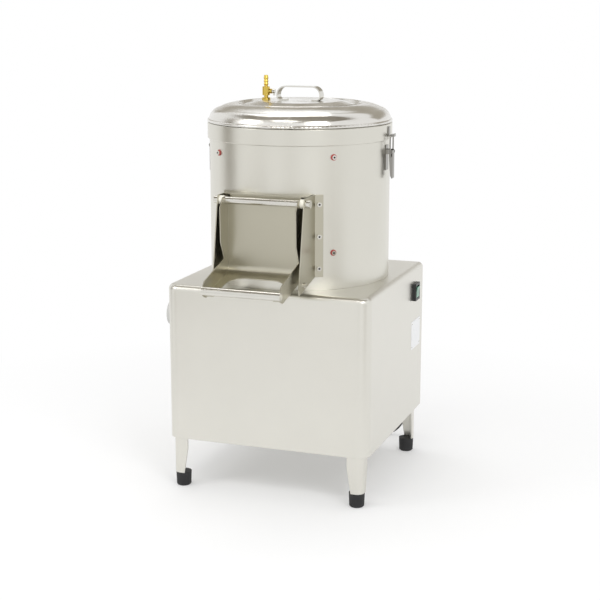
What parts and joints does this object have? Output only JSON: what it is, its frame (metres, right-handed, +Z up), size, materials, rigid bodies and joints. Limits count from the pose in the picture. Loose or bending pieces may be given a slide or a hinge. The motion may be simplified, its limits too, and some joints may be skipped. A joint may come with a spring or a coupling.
{
  "type": "electric potato peeler",
  "caption": "Floor-standing electric potato peeler: legged steel cabinet, round abrasive drum with lift-off lid, toggle latches, hinged discharge door and rocker switch.",
  "frame": {"origin": "middle of the machine's box on the floor, cord left out", "axes": "+Z up, front with the discharge door faces -Y"},
  "size_m": [0.5, 0.7524, 0.857],
  "materials": {
    "brushed_cabinet": "satin brushed stainless sheet",
    "brushed_drum": "vertical brushed stainless",
    "polished_lid": "polished stainless",
    "door_steel": "satin stainless",
    "bright_steel": "bright stainless",
    "black_rubber": "matt moulded rubber",
    "gasket": "pale food-grade silicone",
    "red_washer": "red sealing washer",
    "abrasive": "coarse grit coating",
    "cast_alloy": "cast",
    "motor_paint": "satin enamel",
    "zinc_plate": "zinc plated sheet",
    "brass": "turned brass",
    "drain_plastic": "light grey moulded",
    "switch_black": "moulded",
    "switch_green": "translucent green",
    "plate_white": "bare white plate",
    "cord_black": "rubber sheathed",
    "tie_black": "hook strap"
  },
  "bodies": {
    "root": {"abrasive_liner": "abrasive", "base_pan": "brushed_drum", "base_plate": "brushed_cabinet", "bearing_housing": "cast_alloy", "bracket_bolts": "bright_steel", "bracket_left": "door_steel", "bracket_right": "door_steel", "bracket_screws": "bright_steel", "cabinet_shell": "brushed_cabinet", "cable_gland": "cord_black", "cord_coil": "cord_black", "cord_tie": "tie_black", "discharge_spout": "brushed_drum", "drain_pipe": "drain_plastic", "drive_belt": "black_rubber", "drum_collar": "brushed_drum", "drum_shell": "brushed_drum", "hinge_hood": "door_steel", "hinge_rod": "bright_steel", "hinge_spacers": "gasket", "latch_bases": "bright_steel", "latch_hooks": "bright_steel", "leg_front_left": "brushed_cabinet", "leg_front_right": "brushed_cabinet", "leg_rear_left": "brushed_cabinet", "leg_rear_right": "brushed_cabinet", "liner_screws": "bright_steel", "liner_washers": "red_washer", "mains_plug": "cord_black", "motor_body": "motor_paint", "motor_mount": "zinc_plate", "panel_screws": "bright_steel", "power_cord": "cord_black", "rating_plate": "plate_white", "rear_panel": "brushed_cabinet", "rubber_feet": "black_rubber", "shaft_bearings": "bright_steel", "shaft_seal": "black_rubber", "switch_housing": "switch_black"},
    "lid": {"lid_dome": "polished_lid", "lid_skirt": "polished_lid", "lid_gasket": "gasket", "lid_handle": "bright_steel", "water_valve": "brass", "spray_nozzle": "brass"},
    "tap": {"valve_tap": "bright_steel"},
    "disc": {"peeling_disc": "abrasive", "disc_shaft": "bright_steel", "driven_pulley": "cast_alloy"},
    "motor_rotor": {"motor_shaft": "bright_steel", "motor_pulley": "cast_alloy"},
    "door": {"discharge_door": "door_steel", "door_grip": "bright_steel", "hinge_sleeve": "bright_steel", "door_seal": "black_rubber"},
    "rocker": {"switch_rocker": "switch_green"},
    "lever_right": {"latch_lever_right": "bright_steel"},
    "lever_left": {"latch_lever_left": "bright_steel"},
    "bail_right": {"latch_bail_right": "bright_steel"},
    "bail_left": {"latch_bail_left": "bright_steel"}
  },
  "joints": [
    {"name": "lid_lift", "type": "slide", "parent": "root", "child": "lid", "axis": [0, 0, 1], "range_m": [0, 0.18]},
    {"name": "tap_turn", "type": "hinge", "parent": "lid", "child": "tap", "pos_m": [-0.044, 0.06975, 0.82346], "axis": [1, 0, 0], "range_deg": [0, 90]},
    {"name": "disc_spin", "type": "hinge", "parent": "root", "child": "disc", "pos_m": [0.02, 0.06975, 0.464], "axis": [0, 0, 1], "continuous": true},
    {"name": "motor_spin", "type": "hinge", "parent": "root", "child": "motor_rotor", "pos_m": [0.115, 0.15875, 0.29], "axis": [0, 0, 1], "continuous": true},
    {"name": "door_swing", "type": "hinge", "parent": "root", "child": "door", "pos_m": [0.02, -0.15125, 0.622], "axis": [-1, 0, 0], "range_deg": [0, 75]},
    {"name": "switch_rock", "type": "hinge", "parent": "root", "child": "rocker", "pos_m": [0.242, 0.20275, 0.385], "axis": [0, -1, 0], "range_deg": [0, 16]},
    {"name": "latch_right", "type": "hinge", "parent": "root", "child": "lever_right", "pos_m": [0.221, 0.06975, 0.706], "axis": [0, -1, 0], "range_deg": [0, 120]},
    {"name": "bail_swing_right", "type": "hinge", "parent": "lever_right", "child": "bail_right", "pos_m": [0.221, 0.06975, 0.696], "axis": [0, -1, 0], "range_deg": [-106, 0]},
    {"name": "latch_left", "type": "hinge", "parent": "root", "child": "lever_left", "pos_m": [-0.181, 0.06975, 0.706], "axis": [0, 1, 0], "range_deg": [0, 120]},
    {"name": "bail_swing_left", "type": "hinge", "parent": "lever_left", "child": "bail_left", "pos_m": [-0.181, 0.06975, 0.696], "axis": [0, 1, 0], "range_deg": [-106, 0]}
  ],
  "couplings": [
    {"joint": "motor_spin", "follows": "disc_spin", "ratio": 2.938},
    {"joint": "bail_swing_right", "follows": "latch_right", "ratio": -0.88},
    {"joint": "bail_swing_left", "follows": "latch_left", "ratio": -0.88}
  ]
}
